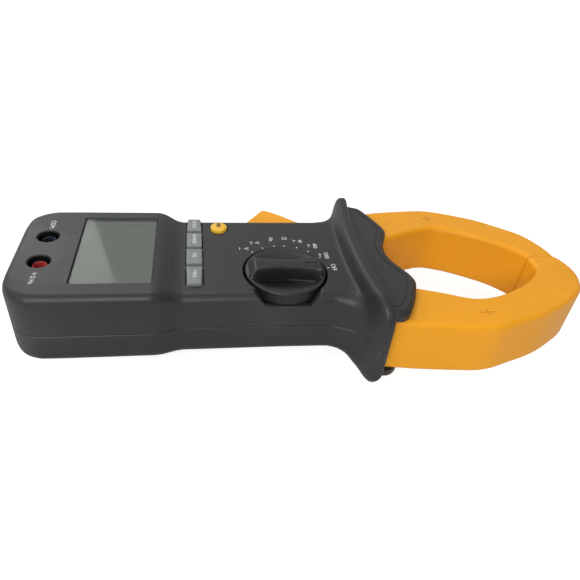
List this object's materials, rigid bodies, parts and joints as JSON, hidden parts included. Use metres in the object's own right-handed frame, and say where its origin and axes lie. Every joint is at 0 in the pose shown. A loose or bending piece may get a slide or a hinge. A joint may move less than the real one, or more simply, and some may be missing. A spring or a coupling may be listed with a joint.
{
  "type": "clamp meter",
  "caption": "Hand-held clamp meter with an opening jaw worked by a side lever, rotary dial, push keys, display window, test-lead sockets and a battery door.",
  "frame": {"origin": "on the flat back of the rear case, midway along the meter and on its centre line", "axes": "+X from the test-lead end towards the jaw tips, +Y across towards the trigger lever, +Z out of the display face"},
  "size_m": [0.2743, 0.1052, 0.0475],
  "materials": {
    "case": "satin moulded ABS, dark grey",
    "case_dark": "satin moulded ABS, near black",
    "amber": "satin moulded ABS, amber orange",
    "yellow": "satin moulded, yellow",
    "key": "satin moulded, mid grey",
    "glass": "clear moulded window",
    "lcd": "liquid crystal glass, grey green",
    "rubber": "matt elastomer",
    "red": "moulded, red",
    "black": "moulded, black",
    "brass": "turned, plated",
    "steel": "zinc plated",
    "core": "laminated silicon steel",
    "copper": "enamelled copper winding",
    "board": "solder-masked laminate",
    "battery": "printed can",
    "white": "moulded, off white"
  },
  "bodies": {
    "meter_body": {"front_case": "case", "rear_case": "case", "lens_window": "glass", "lcd_panel": "lcd", "lcd_frame": "white", "zebra_strip": "rubber", "circuit_board": "board", "main_chip": "black", "buzzer": "black", "keypad_mat": "rubber", "com_insulator": "black", "com_socket": "brass", "volt_insulator": "red", "volt_socket": "brass", "battery_9v": "battery", "battery_snap": "black", "battery_lead_red": "red", "battery_lead_black": "black", "case_screw_1": "steel", "case_screw_2": "steel", "case_screw_3": "steel", "case_screw_4": "steel", "case_screw_5": "steel", "jaw_screw_1": "steel", "jaw_screw_2": "steel", "fixed_jaw_shell": "amber", "fixed_jaw_cover": "amber", "fixed_core": "core", "fixed_coil": "copper", "pivot_pin": "steel", "return_spring": "steel"},
    "moving_jaw": {"moving_jaw_shell": "amber", "moving_jaw_cover": "amber", "moving_core": "core", "moving_coil": "copper", "trigger_lever": "amber", "lever_screw": "steel"},
    "dial": {"dial_knob": "case_dark", "dial_rotor": "white", "contact_wiper": "brass"},
    "key_1": {"key_1": "key"},
    "key_2": {"key_2": "key"},
    "key_3": {"key_3": "key"},
    "key_4": {"key_4": "key"},
    "mode_key": {"mode_key": "yellow"},
    "battery_door": {"battery_door": "case", "battery_door_screw": "steel"}
  },
  "joints": [
    {"name": "jaw_open", "type": "hinge", "parent": "meter_body", "child": "moving_jaw", "pos_m": [0.0265, 0.0315, 0.0133], "axis": [0, 0, 1], "range_deg": [0, 24], "stiffness_Nm_per_rad": 0.6, "springref_deg": -20.05},
    {"name": "dial_turn", "type": "hinge", "parent": "meter_body", "child": "dial", "pos_m": [-0.0144, -0.0138, 0.0322], "axis": [0, 0, 1], "range_deg": [0, 126], "stiffness_Nm_per_rad": 0.02},
    {"name": "key_1_press", "type": "slide", "parent": "meter_body", "child": "key_1", "axis": [0, 0, -1], "range_m": [0, 0.0012], "stiffness_N_per_m": 400, "springref_m": -0.0008},
    {"name": "key_2_press", "type": "slide", "parent": "meter_body", "child": "key_2", "axis": [0, 0, -1], "range_m": [0, 0.0012], "stiffness_N_per_m": 400, "springref_m": -0.0008},
    {"name": "key_3_press", "type": "slide", "parent": "meter_body", "child": "key_3", "axis": [0, 0, -1], "range_m": [0, 0.0012], "stiffness_N_per_m": 400, "springref_m": -0.0008},
    {"name": "key_4_press", "type": "slide", "parent": "meter_body", "child": "key_4", "axis": [0, 0, -1], "range_m": [0, 0.0012], "stiffness_N_per_m": 400, "springref_m": -0.0008},
    {"name": "mode_key_press", "type": "slide", "parent": "meter_body", "child": "mode_key", "axis": [0, 0, -1], "range_m": [0, 0.0012], "stiffness_N_per_m": 400, "springref_m": -0.0008},
    {"name": "battery_door_lift", "type": "slide", "parent": "meter_body", "child": "battery_door", "axis": [0, 0, -1], "range_m": [0, 0.015], "stiffness_N_per_m": 60, "springref_m": -0.01}
  ]
}
